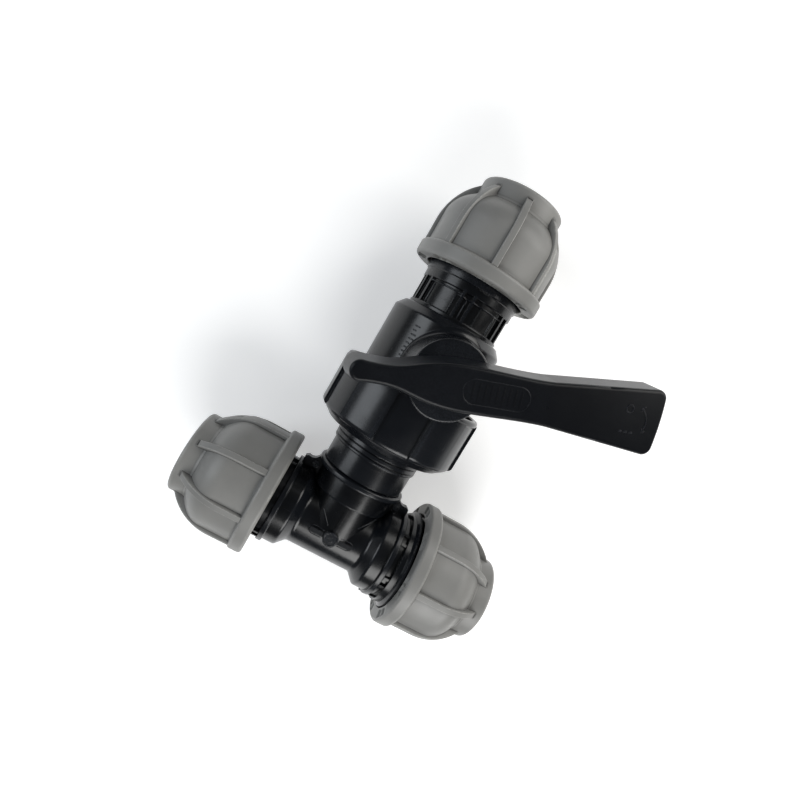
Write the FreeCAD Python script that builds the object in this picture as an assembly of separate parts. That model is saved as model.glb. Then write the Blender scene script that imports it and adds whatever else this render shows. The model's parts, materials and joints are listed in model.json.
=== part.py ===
import FreeCAD, Part
import math
import os

# Ball valve with a union inlet, standing on the branch of a compression tee.
# Working frame while modelling (mm): the origin is where the three pipe axes of the tee meet,
# +X runs along the tee towards the right pipe, +Y along the branch towards the valve outlet,
# +Z is square to the tee. Everything is moved at the end so that the row's origin is at the
# left pipe's stop.

V = FreeCAD.Vector
X_AXIS = V(1, 0, 0)
Y_AXIS = V(0, 1, 0)
Z_AXIS = V(0, 0, 1)
ORIGIN = V(0, 0, 0)

# ---- waterway and pipe connections, for polyethylene pipe of 25 mm outside diameter
WATERWAY_R = 9.5
SOCKET_R = 12.7              # pipe socket, 0.2 mm over the pipe's radius
SOCKET_LENGTH = 23.0
SEAL_SPACE_R = 16.3          # counterbore for the pipe seal and its packing bush
SEAL_SPACE_LENGTH = 12.0
PIPE_CLEAR_R = 12.75         # inside of the rings that stand round the pipe
PIPE_STOP_X = 15.0           # pipe stop in the tee's run, from the tee centre
RUN_END_X = PIPE_STOP_X + SOCKET_LENGTH + SEAL_SPACE_LENGTH

# ---- threads under the compression nuts
THREAD_PITCH = 4.0
THREAD_ROOT_R = 19.8
THREAD_CREST_R = 21.3
NUT_THREAD_R = 21.6          # plain bore of the nut, clear of the thread's crest

# ---- compression nut, measured from its rim face
NUT_LENGTH = 38.0
NUT_RIM_R = 27.2
NUT_RIM_LENGTH = 5.8
NUT_DOME_R = 25.0
NUT_DOME_STRAIGHT = 19.0
NUT_COLLAR_R = 17.4
NUT_DOME_END = 29.6
NUT_EXIT_R = 13.3
NUT_SKIRT_START = 2.0        # ribs, dome and collar start inside the rim, this far from its face
NUT_RIB_COUNT = 8
NUT_RIB_R = 26.5
NUT_RIB_WIDTH = 3.0
NUT_RIB_STRAIGHT = 15.0
NUT_RIB_END = 34.6
NUT_POCKET_DEPTH = 2.2       # small cored pockets in the rim face, one each side of a rib
NUT_POCKET_NEAR = 1.0
NUT_POCKET_FAR = 3.0
NUT_THREAD_DEPTH = 22.0
NUT_CONE_WIDE_R = 18.9         # cone that squeezes the grip ring, wide end and narrow end
NUT_CONE_NARROW_R = 14.4
NUT_CONE_END = 34.0
LEFT_RIM_X = -28.5           # rim faces at rest
RIGHT_RIM_X = 33.0
OUTLET_RIM_Y = 115.8
LEFT_NUT_CLOCK_DEG = 33.0    # how far each nut is turned about its axis at rest
RIGHT_NUT_CLOCK_DEG = -1.0
OUTLET_NUT_CLOCK_DEG = -2.0

GRIP_RING_START = 23.6       # grip ring's thick end, from the nut's rim face
GRIP_RING_LENGTH = 10.0
GRIP_WIDE_R = 17.9
GRIP_NARROW_R = 14.2
GRIP_TOOTH_COUNT = 3
GRIP_TOOTH_LENGTH = 2.8
GRIP_TOOTH_DEPTH = 0.5
GRIP_SPLIT_WIDTH = 3.2
BUSH_LENGTH = 10.0
BUSH_FLANGE_R = 17.7
BUSH_START = 26.8            # inner end of the packing bush, from the pipe stop
BUSH_FLANGE_THICKNESS = 1.7
BUSH_CLEARANCE = 0.1
PIPE_SEAL_SECTION_R = 1.7

# ---- tee
RUN_WAIST_R = 14.3
RUN_BARREL_R = 18.2
RUN_RING_R = 19.4
RUN_NECK_R = 18.0
RUN_WAIST_END = 14.8         # distances from the tee centre along the run
RUN_BARREL_START = 18.6
RUN_RING_START = 23.8
RUN_RING_END = 26.2
RUN_THREAD_START = 28.6
BRANCH_LOWER_R = 15.4
BRANCH_R = 16.9
BRANCH_COLLAR_R = 19.4
BRANCH_STEP_Y = 15.0
BRANCH_COLLAR_Y = 23.4
BRANCH_END_Y = 26.0
BRANCH_THREAD_R = 13.1       # plain bore for the tail piece's thread
BRANCH_THREAD_START_Y = 12.0
BRANCH_THROAT_R = 11.5         # wider waterway between the run and the tail piece's thread
WEB_THICKNESS = 3.6
WEB_OUTLINE = [(10, 6), (24.8, 6), (24.8, 21.4), (18.6, 25.4), (10, 25.4)]
WEB_HOLLOW_R = 3.2           # rounded notch in the web's free edge
WEB_SPOT_R = 1.65            # raised round spot on each face of the web
WEB_SPOT_HEIGHT = 0.4
GATE_BOSS_R = 3.2            # round moulding mark in the middle of the tee, front and back
GATE_BOSS_FRONT = 16.2
GATE_BOSS_BACK = 12.0
GATE_BAR_HALF_LENGTH = 9.4

# ---- union
TAIL_SPIGOT_R = 13.0
TAIL_R = 18.0
TAIL_RIDGE_R = 18.8
TAIL_FLANGE_R = 26.3
TAIL_FLANGE_Y = 45.7
TAIL_FACE_Y = 49.0
TAIL_RIDGES_Y = (35.8, 37.1, 39.2, 41.2)   # first edge, the two fine grooves, last edge
TAIL_GROOVE_DEPTH = 0.35
UNION_SEAL_R = 13.9
UNION_SEAL_SECTION_R = 1.35
UNION_SEAL_Y = 50.5
UNION_NUT_Y = 42.6
UNION_NUT_END_Y = 69.0
UNION_NUT_HOLE_R = 20.75
UNION_NUT_FLOOR_Y = 45.6     # inside face that pulls on the tail's flange
UNION_NUT_BASE_R = 29.7
UNION_LAND_R = 30.8
UNION_LAND_COUNT = 6
UNION_LAND_ANGLE = 31.0
UNION_BORE_R = 27.9
UNION_ROOT_R = 26.0
UNION_CREST_R = 27.5
UNION_THREAD_END_Y = 64.0

# ---- valve body, its ball and seats
BALL_Y = 78.6
BALL_R = 16.0
CHAMBER_R = 16.6
CARRIER_R = 17.6
CARRIER_STEP_Y = 64.8        # where the carrier narrows to fit the ball chamber
CARRIER_FACE_Y = 50.0
CARRIER_END_Y = CARRIER_STEP_Y + 2.4
CARRIER_GROOVE_Y = (56.6, 59.0)
CARRIER_GROOVE_R = 15.6
FACE_GROOVE_R = (12.2, 15.6)   # groove in the carrier's face for the union's seal
FACE_GROOVE_DEPTH = 1.9
CARRIER_SEAL_R = 16.6
CARRIER_SEAL_SECTION_R = 0.95
CARRIER_CLEARANCE = 0.1
VALVE_FACE_Y = 49.2
BARREL_R = 24.0
BARREL_END_Y = 94.5
NECK_R = 18.7
NECK_START_Y = 98.0
NECK_RIB_R = 19.7            # fine ribs and collar between the barrel and the outlet nut
NECK_RIBS_Y = (99.0, 110.4)
NECK_PANEL_R = 19.3          # raised panels between the ribs
NECK_PANEL_HALF_DEG = 11.0
NECK_COLLAR_Y = (109.4, 112.8, 113.2, 117.0)
NECK_COLLAR_R = 20.1
OUTLET_THREAD_Y = 116.4
OUTLET_STOP_Y = 101.0
OUTLET_END_Y = OUTLET_STOP_Y + SOCKET_LENGTH + SEAL_SPACE_LENGTH
SEAT_R = 14.4
SEAT_BORE_R = 10.2
SEAT_NEAR = 10.0             # seat rings lie between these distances from the ball's centre
SEAT_FAR = 15.0
VALVE_ROLL_DEG = 9.0         # valve turned about the flow axis in its union, towards +X

# ---- stem and lever, heights measured along the stem from the flow axis
STEM_R = 6.4
STEM_BORE_R = 6.5
STEM_SHOULDER_R = 9.0
STEM_SHOULDER_BORE_R = 9.3
STEM_SHOULDER = (17.0, 20.9)   # bottom and top of the shoulder that holds the stem in
STEM_SHOULDER_SEAT = 22.0
STEM_GROOVES = ((25.6, 27.4), (29.2, 31.0))
STEM_GROOVE_R = 5.0
STEM_SEAL_R = 5.74
STEM_SEAL_SECTION_R = 0.72
TONGUE_HALF_THICKNESS = 2.5    # tongue on the stem's foot, and its slot in the ball
TONGUE_HALF_LENGTH = 7.2
TONGUE_BOTTOM = 12.5
BALL_SLOT_HALF = 2.6
BALL_SLOT_FLOOR = 12.2
WASHER_HEIGHTS = (21.0, 21.9)
BOSS_R = 15.2
BOSS_TOP = 33.4
BOSS_NUT_GAP = 0.5           # room between the boss's rim and the union nut under it
SQUARE_SIDE = 8.4
STEM_TOP = 42.0
LEVER_REST_DEG = 18.6        # lever's angle from fully closed, closed being square to the flow
LEVER_UNDERSIDE = 34.0
LEVER_TOP = 46.0
LEVER_WALL = 2.4
LEVER_TAIL = 36.8
LEVER_GRIP_END = 78.0
LEVER_DRAFT = 1.0            # how much wider the walls stand at the bottom than at the top
LEVER_GRIP_HALF = 12.2
LEVER_CORNER_R = 3.4
LEVER_END_BOW = 0.4
LEVER_EDGE_R = 1.3             # rounding along the edge of the lever's top face
LEVER_KINK_X = 33.0            # from here to the end the top face slopes down by the drop
LEVER_KINK_DROP = 0.8
WEDGE_MARGIN = 2.0             # how far the wedge that shapes the slope runs past the lever's end
WEDGE_HALF_WIDTH = 20.0        # half the wedge's width, wider than the lever
LEVER_HUB_R = 7.6
LEVER_RIB_X = (-27.0, -17.0, 22.0, 36.0, 50.0, 64.0)
LEVER_RIB_THICKNESS = 1.8
LEVER_RIB_LIFT = 3.5           # ribs inside the lever stop this far above its lower edge
TRACK_INNER_R = 7.9          # curved slot in the boss whose ends stop the lever's lug
TRACK_OUTER_R = 10.1
TRACK_DEPTH = 2.6
LUG_HALF_DEG = 16.0
LUG_GAP = 0.3                # room round the lug in its slot
STOP_GAP_DEG = 1.0


# ------------------------------------------------------------------ geometry helpers

def rounded_face(corners):
    """Face in the XZ plane from corners (z, x, rounding), with tangent arcs at rounded corners."""
    points = [V(x, 0, z) for z, x, rounding in corners]
    count = len(points)
    starts = []
    ends = []
    arcs = []
    for index in range(count):
        here = points[index]
        back = (points[index - 1] - here).normalize()
        ahead = (points[(index + 1) % count] - here).normalize()
        rounding = corners[index][2]
        if rounding == 0:
            starts.append(here)
            ends.append(here)
            arcs.append(None)
            continue
        half_angle = back.getAngle(ahead) / 2
        tangent = rounding / math.tan(half_angle)
        middle_way = (back + ahead).normalize()
        depth = rounding / math.sin(half_angle) - rounding
        starts.append(here + back * tangent)
        ends.append(here + ahead * tangent)
        arcs.append(here + middle_way * depth)
    edges = []
    for index in range(count):
        if arcs[index] is not None:
            edges.append(Part.Arc(starts[index], arcs[index], ends[index]).toShape())
        following = starts[(index + 1) % count]
        if (following - ends[index]).Length > 1e-6:
            edges.append(Part.makeLine(ends[index], following))
    return Part.Face(Part.Wire(edges))


def turned(corners):
    """Solid of revolution about Z from corners (z, radius, rounding)."""
    return rounded_face(corners).revolve(ORIGIN, Z_AXIS, 360)


def aimed(shape, start, direction):
    """Copy of a shape built about Z, with its Z axis laid along direction from start."""
    placed = shape.copy()
    aim = FreeCAD.Placement(start, FreeCAD.Rotation(Z_AXIS, direction))
    placed.Placement = aim.multiply(shape.Placement)
    return placed


def about_y(corners):
    """Solid of revolution about the flow axis from corners (y, radius, rounding)."""
    return aimed(turned(corners), ORIGIN, Y_AXIS)


def tube(inner_r, outer_r, start, end, rounding=0.0):
    """Turned ring about Z, from start to end along it."""
    return turned([
        (start, inner_r, rounding),
        (end, inner_r, rounding),
        (end, outer_r, rounding),
        (start, outer_r, rounding),
    ])


def rod(radius, start, end):
    """Plain cylinder about Z, from start to end along it."""
    return Part.makeCylinder(radius, end - start, V(0, 0, start), Z_AXIS)


def block(low, high):
    """Box between two corners given as (x, y, z)."""
    size = [high[axis] - low[axis] for axis in range(3)]
    return Part.makeBox(size[0], size[1], size[2], V(*low))


def spun(shape, count, first_deg=0.0):
    """List of copies of a shape spaced evenly round the Z axis."""
    copies = []
    for number in range(count):
        copy = shape.copy()
        copy.rotate(ORIGIN, Z_AXIS, first_deg + number * 360.0 / count)
        copies.append(copy)
    return copies


def fused(first, others):
    """One clean solid from a shape and a list of shapes that overlap it."""
    return first.fuse(others).removeSplitter()


def sector(inner_r, outer_r, start, end, from_deg, to_deg):
    """Piece of a ring about Z, between two angles and two heights."""
    profile = Part.makePolygon([
        V(inner_r, 0, start), V(outer_r, 0, start), V(outer_r, 0, end), V(inner_r, 0, end),
        V(inner_r, 0, start),
    ])
    piece = Part.Face(profile).revolve(ORIGIN, Z_AXIS, to_deg - from_deg)
    piece.rotate(ORIGIN, Z_AXIS, from_deg)
    return piece


def thread(root_r, crest_r, start, end, pitch):
    """Right-hand helical ridge about Z, sunk slightly into a core of the root radius."""
    sink = 0.3
    foot_half = 0.36 * pitch
    crest_half = 0.12 * pitch
    path = Part.makeHelix(pitch, end - start - 2 * foot_half, root_r)
    path.translate(V(0, 0, start + foot_half))
    corners = [
        V(root_r - sink, 0, -foot_half),
        V(crest_r, 0, -crest_half),
        V(crest_r, 0, crest_half),
        V(root_r - sink, 0, foot_half),
    ]
    lifted = [corner + V(0, 0, start + foot_half) for corner in corners]
    outline = Part.makePolygon(lifted + [lifted[0]])
    return path.makePipeShell([outline], True, True)


def o_ring(radius, section_r, height):
    """O-ring about Z with its section's centre on the given radius and height."""
    ring = Part.makeTorus(radius, section_r)
    ring.translate(V(0, 0, height))
    return ring


# ------------------------------------------------------------------ compression ends

def threaded_end(start, end):
    """Outside of a pipe end about Z: plain core with the nut's male thread on it."""
    core = turned([(start, 0, 0), (end, 0, 0), (end, THREAD_ROOT_R, 1.0), (start, THREAD_ROOT_R, 0)])
    ridge = thread(THREAD_ROOT_R, THREAD_CREST_R, start + 0.3, end - 1.4, THREAD_PITCH)
    return core, ridge


def socket_hollow(stop):
    """Hollow of a pipe end about Z: pipe socket from its stop, then the seal's counterbore."""
    shoulder = stop + SOCKET_LENGTH
    mouth = shoulder + SEAL_SPACE_LENGTH
    return turned([
        (stop, 0, 0),
        (mouth + 1, 0, 0),
        (mouth + 1, SEAL_SPACE_R, 0),
        (shoulder, SEAL_SPACE_R, 0),
        (shoulder, SOCKET_R, 0),
        (stop, SOCKET_R, 0),
    ])


def neck_ribs(root_r, top_r, start, end):
    """Pairs of fine lengthwise ribs round a neck, about Z."""
    rib = block((root_r - 0.6, -0.6, start), (top_r, 0.6, end))
    pair = []
    for offset_deg in (-6.5, 6.5):
        copy = rib.copy()
        copy.rotate(ORIGIN, Z_AXIS, offset_deg)
        pair.append(copy)
    return [copy for one in pair for copy in spun(one, 6, 15.0)]


def nut_rib():
    """One rib of a compression nut, standing on its +X side."""
    dx = NUT_RIB_END - NUT_RIB_STRAIGHT
    drop = NUT_RIB_R - NUT_COLLAR_R
    bend_r = (dx * dx + drop * drop) / (2 * drop)
    mid_angle = math.asin(dx / bend_r) / 2
    middle = V(
        NUT_RIB_R - bend_r + bend_r * math.cos(mid_angle),
        0,
        NUT_RIB_STRAIGHT + bend_r * math.sin(mid_angle),
    )
    foot_low = V(NUT_COLLAR_R - 1.2, 0, NUT_SKIRT_START)
    foot_high = V(NUT_COLLAR_R - 1.2, 0, NUT_RIB_END)
    top_low = V(NUT_RIB_R, 0, NUT_SKIRT_START)
    top_bend = V(NUT_RIB_R, 0, NUT_RIB_STRAIGHT)
    top_end = V(NUT_COLLAR_R, 0, NUT_RIB_END)
    outline = Part.Wire([
        Part.makeLine(foot_low, top_low),
        Part.makeLine(top_low, top_bend),
        Part.Arc(top_bend, middle, top_end).toShape(),
        Part.makeLine(top_end, foot_high),
        Part.makeLine(foot_high, foot_low),
    ])
    face = Part.Face(outline)
    face.translate(V(0, -NUT_RIB_WIDTH / 2, 0))
    return face.extrude(V(0, NUT_RIB_WIDTH, 0))


def nut_cavity():
    """Inside of a compression nut: thread bore, cone for the grip ring, then the pipe hole."""
    return turned([
        (-1, 0, 0),
        (NUT_LENGTH + 1, 0, 0),
        (NUT_LENGTH + 1, NUT_EXIT_R, 0),
        (NUT_CONE_END, NUT_EXIT_R, 0),
        (NUT_CONE_END, NUT_CONE_NARROW_R, 0),
        (NUT_THREAD_DEPTH, NUT_CONE_WIDE_R, 0),
        (NUT_THREAD_DEPTH, NUT_THREAD_R, 0),
        (-1, NUT_THREAD_R, 0),
    ])


def compression_nut():
    """Ribbed domed nut about Z, with its rim face at zero and the pipe leaving along +Z."""
    dome_drop = NUT_DOME_R - NUT_COLLAR_R
    dome_run = NUT_DOME_END - NUT_DOME_STRAIGHT
    dome_bend = (dome_run * dome_run + dome_drop * dome_drop) / (2 * dome_drop)
    half_turn = math.asin(dome_run / dome_bend) / 2
    bend_middle = V(
        NUT_DOME_R - dome_bend + dome_bend * math.cos(half_turn),
        0,
        NUT_DOME_STRAIGHT + dome_bend * math.sin(half_turn),
    )
    centre_low = V(0, 0, NUT_SKIRT_START)
    centre_high = V(0, 0, NUT_DOME_END)
    wall_low = V(NUT_DOME_R, 0, NUT_SKIRT_START)
    wall_bend = V(NUT_DOME_R, 0, NUT_DOME_STRAIGHT)
    dome_top = V(NUT_COLLAR_R, 0, NUT_DOME_END)
    dome_outline = Part.Wire([
        Part.makeLine(centre_low, wall_low),
        Part.makeLine(wall_low, wall_bend),
        Part.Arc(wall_bend, bend_middle, dome_top).toShape(),
        Part.makeLine(dome_top, centre_high),
        Part.makeLine(centre_high, centre_low),
    ])
    dome = Part.Face(dome_outline).revolve(ORIGIN, Z_AXIS, 360)
    rim = turned([
        (0, 0, 0), (NUT_RIM_LENGTH, 0, 0), (NUT_RIM_LENGTH, NUT_RIM_R, 1.5), (0, NUT_RIM_R, 1.5),
    ])
    collar = turned([
        (NUT_SKIRT_START, 0, 0),
        (NUT_LENGTH, 0, 0),
        (NUT_LENGTH, NUT_COLLAR_R, 1.2),
        (NUT_SKIRT_START, NUT_COLLAR_R, 0),
    ])
    ribs = spun(nut_rib(), NUT_RIB_COUNT)
    inner = NUT_THREAD_R + 1.0
    outer = NUT_RIM_R - 2.0
    pocket = block((inner, NUT_POCKET_NEAR, -1), (outer, NUT_POCKET_FAR, NUT_POCKET_DEPTH))
    mirrored = block((inner, -NUT_POCKET_FAR, -1), (outer, -NUT_POCKET_NEAR, NUT_POCKET_DEPTH))
    pockets = spun(pocket, NUT_RIB_COUNT) + spun(mirrored, NUT_RIB_COUNT)
    return fused(rim, [dome, collar] + ribs).cut([nut_cavity()] + pockets)


def grip_ring():
    """Split ring with a tapered back and inside teeth, about Z from its thick end."""
    root_r = PIPE_CLEAR_R + GRIP_TOOTH_DEPTH
    outline = [(0, root_r, 0)]
    for number in range(GRIP_TOOTH_COUNT):
        height = 0.8 + GRIP_TOOTH_LENGTH * number
        outline.append((height, root_r, 0))
        outline.append((height + GRIP_TOOTH_LENGTH - 0.4, PIPE_CLEAR_R, 0))
    outline.append((GRIP_RING_LENGTH, PIPE_CLEAR_R + 0.3, 0))
    outline.append((GRIP_RING_LENGTH, GRIP_NARROW_R, 0.3))
    outline.append((0, GRIP_WIDE_R, 0.6))
    split_half = GRIP_SPLIT_WIDTH / 2
    split = block((0, -split_half, -1), (GRIP_WIDE_R + 2, split_half, GRIP_RING_LENGTH + 1))
    return turned(outline).cut(split)


def packing_bush():
    """Flanged ring about Z that presses the pipe seal into its counterbore."""
    flange_start = BUSH_LENGTH - BUSH_FLANGE_THICKNESS
    body_r = SEAL_SPACE_R - BUSH_CLEARANCE
    return turned([
        (0, PIPE_CLEAR_R, 0),
        (BUSH_LENGTH, PIPE_CLEAR_R, 0.4),
        (BUSH_LENGTH, BUSH_FLANGE_R, 0.4),
        (flange_start, BUSH_FLANGE_R, 0.2),
        (flange_start, body_r, 0),
        (0, body_r, 0.4),
    ])


def compression_set(prefix, stop, direction, rim, clock_deg):
    """Nut, grip ring, packing bush and seal of one pipe end, as a dictionary of shapes."""
    seal_height = SOCKET_LENGTH + PIPE_SEAL_SECTION_R + 0.1
    seal = o_ring(PIPE_CLEAR_R + PIPE_SEAL_SECTION_R, PIPE_SEAL_SECTION_R, seal_height)
    nut = compression_nut()
    nut.rotate(ORIGIN, Z_AXIS, clock_deg)
    return {
        prefix + "_nut": aimed(nut, rim, direction),
        prefix + "_grip_ring": aimed(grip_ring(), rim + direction * GRIP_RING_START, direction),
        prefix + "_packing_bush": aimed(packing_bush(), stop + direction * BUSH_START, direction),
        prefix + "_pipe_o_ring": aimed(seal, stop, direction),
    }


# ------------------------------------------------------------------ tee

def run_half():
    """Outside of one half of the tee's run, about Z from the tee centre."""
    return turned([
        (0, 0, 0),
        (RUN_END_X - 0.5, 0, 0),
        (RUN_END_X - 0.5, RUN_NECK_R - 1.0, 0),
        (RUN_THREAD_START, RUN_NECK_R, 0),
        (RUN_RING_END, RUN_NECK_R, 0),
        (RUN_RING_END, RUN_RING_R, 0.5),
        (RUN_RING_START, RUN_RING_R, 0.5),
        (RUN_RING_START, RUN_BARREL_R, 0),
        (RUN_BARREL_START, RUN_BARREL_R, 1.4),
        (RUN_WAIST_END, RUN_WAIST_R, 2.0),
        (0, RUN_WAIST_R, 0),
    ])


def web(side):
    """Flat gusset between the run and the branch, with a hollow in its free edge and a raised spot."""
    points = [V(side * x, y, -WEB_THICKNESS / 2) for x, y in WEB_OUTLINE]
    plate = Part.Face(Part.makePolygon(points + [points[0]])).extrude(V(0, 0, WEB_THICKNESS))
    hollow = Part.makeCylinder(WEB_HOLLOW_R, 2 * WEB_THICKNESS, V(side * 22.4, 25.2, -WEB_THICKNESS))
    spot_base = V(side * 19.4, 20.2, -WEB_THICKNESS / 2 - WEB_SPOT_HEIGHT)
    spot = Part.makeCylinder(WEB_SPOT_R, WEB_THICKNESS + 2 * WEB_SPOT_HEIGHT, spot_base)
    return plate.cut(hollow), spot


def tee_body():
    """Compression tee: run with two threaded pipe ends, and a branch with a threaded bore."""
    solids = []
    ridges = []
    hollows = []
    for side in (-1, 1):
        direction = X_AXIS * side
        solids.append(aimed(run_half(), ORIGIN, direction))
        core, ridge = threaded_end(RUN_THREAD_START, RUN_END_X)
        solids.append(aimed(core, ORIGIN, direction))
        ridges.append(aimed(ridge, ORIGIN, direction))
        ribs = neck_ribs(RUN_NECK_R, RUN_RING_R - 0.4, RUN_RING_END - 0.6, RUN_THREAD_START + 0.2)
        solids.extend(aimed(rib, ORIGIN, direction) for rib in ribs)
        solids.extend(web(side))
        solids.append(block((side * 25.0 - 1.0, -RUN_RING_R - 0.9, -1.6), (side * 25.0 + 1.0, -17, 1.6)))
        hollows.append(aimed(socket_hollow(PIPE_STOP_X), ORIGIN, direction))
    branch = about_y([
        (0, 0, 0),
        (BRANCH_END_Y, 0, 0),
        (BRANCH_END_Y, BRANCH_COLLAR_R, 0.9),
        (BRANCH_COLLAR_Y, BRANCH_COLLAR_R, 0.9),
        (BRANCH_COLLAR_Y, BRANCH_R, 0),
        (BRANCH_STEP_Y, BRANCH_R, 0.7),
        (BRANCH_STEP_Y, BRANCH_LOWER_R, 0),
        (0, BRANCH_LOWER_R, 0),
    ])
    gate_boss = Part.makeCylinder(GATE_BOSS_R, GATE_BOSS_FRONT + GATE_BOSS_BACK, V(0, 0, -GATE_BOSS_BACK))
    gate_bar = block((-GATE_BAR_HALF_LENGTH, -1.1, 0), (GATE_BAR_HALF_LENGTH, 1.1, RUN_WAIST_R + 0.7))
    rising_rib = block((-0.6, 0, 0), (0.6, 15.2, 15.9))
    solids.extend([gate_boss, gate_bar, rising_rib, branch])
    run_waterway = Part.makeCylinder(WATERWAY_R, 4 * PIPE_STOP_X, V(-2 * PIPE_STOP_X, 0, 0), X_AXIS)
    branch_bore = about_y([
        (0, 0, 0),
        (BRANCH_END_Y + 1, 0, 0),
        (BRANCH_END_Y + 1, BRANCH_THREAD_R, 0),
        (BRANCH_THREAD_START_Y, BRANCH_THREAD_R, 0),
        (BRANCH_THREAD_START_Y, BRANCH_THROAT_R, 0),
        (0, BRANCH_THROAT_R, 0),
    ])
    outside = fused(solids[0], solids[1:])
    hollowed = outside.cut(hollows + [run_waterway, branch_bore])
    return fused(hollowed, ridges)


# ------------------------------------------------------------------ union

def tail_piece():
    """Union tail about the branch axis: threaded spigot, ridged barrel, and a flange inside the nut."""
    first, lower_groove, upper_groove, last = TAIL_RIDGES_Y
    groove_r = TAIL_RIDGE_R - TAIL_GROOVE_DEPTH
    return about_y([
        (BRANCH_THREAD_START_Y + 0.6, WATERWAY_R, 0.4),
        (TAIL_FACE_Y, WATERWAY_R, 0.3),
        (TAIL_FACE_Y, TAIL_FLANGE_R, 0.4),
        (TAIL_FLANGE_Y, TAIL_FLANGE_R, 0.4),
        (TAIL_FLANGE_Y, TAIL_R - 0.2, 0),
        (last, TAIL_R - 0.2, 0),
        (last, TAIL_RIDGE_R, 0.3),
        (upper_groove + 0.3, TAIL_RIDGE_R, 0.2),
        (upper_groove, groove_r, 0),
        (upper_groove - 0.3, TAIL_RIDGE_R, 0.2),
        (lower_groove + 0.3, TAIL_RIDGE_R, 0.2),
        (lower_groove, groove_r, 0),
        (lower_groove - 0.3, TAIL_RIDGE_R, 0.2),
        (first, TAIL_RIDGE_R, 0.3),
        (first, TAIL_R, 0.2),
        (BRANCH_END_Y + 0.05, TAIL_R, 0.6),
        (BRANCH_END_Y + 0.05, TAIL_SPIGOT_R, 0),
        (BRANCH_THREAD_START_Y + 0.6, TAIL_SPIGOT_R, 0.8),
    ])


def union_nut():
    """Union ring nut about the flow axis, with broad lands standing on its outside."""
    base = turned([
        (UNION_NUT_Y, UNION_NUT_HOLE_R, 0.6),
        (UNION_NUT_FLOOR_Y, UNION_NUT_HOLE_R, 0.3),
        (UNION_NUT_FLOOR_Y, UNION_BORE_R, 0),
        (UNION_NUT_END_Y, UNION_BORE_R, 0.6),
        (UNION_NUT_END_Y, UNION_NUT_BASE_R + 0.7, 1.2),
        (UNION_NUT_END_Y - 2.0, UNION_NUT_BASE_R + 0.7, 0.4),
        (UNION_NUT_END_Y - 2.6, UNION_NUT_BASE_R, 0.4),
        (UNION_NUT_FLOOR_Y + 0.4, UNION_NUT_BASE_R, 2.6),
        (UNION_NUT_Y, 25.6, 1.2),
    ])
    land_outline = turned([
        (UNION_NUT_FLOOR_Y, UNION_BORE_R - 0.4, 0),
        (UNION_NUT_END_Y - 1.2, UNION_BORE_R - 0.4, 0),
        (UNION_NUT_END_Y - 1.2, UNION_LAND_R, 1.0),
        (UNION_NUT_FLOOR_Y, UNION_LAND_R, 2.0),
    ])
    half = UNION_LAND_ANGLE / 2
    wedge = sector(UNION_BORE_R + 0.7, UNION_LAND_R + 1, UNION_NUT_Y, UNION_NUT_END_Y + 1, -half, half)
    lands = [land_outline.common(one) for one in spun(wedge, UNION_LAND_COUNT)]
    return aimed(fused(base, lands), ORIGIN, Y_AXIS)


# ------------------------------------------------------------------ valve, flow along Y and stem up Z

def valve_outside():
    """Outside of the valve body: union thread, barrel, stem boss, ribbed neck and threaded outlet."""
    barrel = about_y([
        (VALVE_FACE_Y, 0, 0),
        (OUTLET_END_Y - 0.5, 0, 0),
        (OUTLET_END_Y - 0.5, NECK_R - 2.0, 0),
        (NECK_START_Y + 16, NECK_R, 0),
        (NECK_START_Y, NECK_R, 0),
        (NECK_START_Y, 21.2, 1.2),
        (BARREL_END_Y, BARREL_R, 1.5),
        (UNION_THREAD_END_Y, BARREL_R, 0),
        (UNION_THREAD_END_Y, UNION_ROOT_R, 0.5),
        (VALVE_FACE_Y, UNION_ROOT_R, 0.8),
    ])
    core, ridge = threaded_end(OUTLET_THREAD_Y, OUTLET_END_Y)
    collar_start, step_low, step_high, collar_end = NECK_COLLAR_Y
    collar = turned([
        (collar_start, 0, 0),
        (collar_end, 0, 0),
        (collar_end, NECK_COLLAR_R, 0),
        (step_high, NECK_COLLAR_R, 0.3),
        (step_low, NECK_RIB_R, 0),
        (collar_start, NECK_RIB_R, 0.5),
    ])
    inner_ring = turned([
        (NECK_START_Y - 1, 0, 0),
        (NECK_START_Y + 1.6, 0, 0),
        (NECK_START_Y + 1.6, NECK_RIB_R, 0.5),
        (NECK_START_Y - 1, NECK_RIB_R, 0),
    ])
    ribs_start, ribs_end = NECK_RIBS_Y
    panel = sector(
        NECK_R - 1, NECK_PANEL_R, ribs_start, ribs_end, -NECK_PANEL_HALF_DEG, NECK_PANEL_HALF_DEG,
    )
    neck_parts = [core, collar, inner_ring] + spun(panel, 3, 45.0)
    neck_parts.extend(neck_ribs(NECK_R, NECK_RIB_R, ribs_start, ribs_end))
    boss = turned([
        (12, 0, 0), (BOSS_TOP, 0, 0), (BOSS_TOP, BOSS_R, 0.7), (23.2, BOSS_R + 0.4, 0), (12, BOSS_R + 0.4, 0),
    ])
    boss.translate(V(0, BALL_Y, 0))
    room = tube(BARREL_R, UNION_LAND_R + BOSS_NUT_GAP, UNION_NUT_Y, UNION_NUT_END_Y + BOSS_NUT_GAP)
    boss = boss.cut(aimed(room, ORIGIN, Y_AXIS))
    placed = [aimed(shape, ORIGIN, Y_AXIS) for shape in neck_parts]
    union_ridge = thread(UNION_ROOT_R, UNION_CREST_R, VALVE_FACE_Y + 0.9, UNION_THREAD_END_Y, THREAD_PITCH)
    ridges = [aimed(ridge, ORIGIN, Y_AXIS), aimed(union_ridge, ORIGIN, Y_AXIS)]
    return fused(barrel, placed + [boss]), ridges


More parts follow.
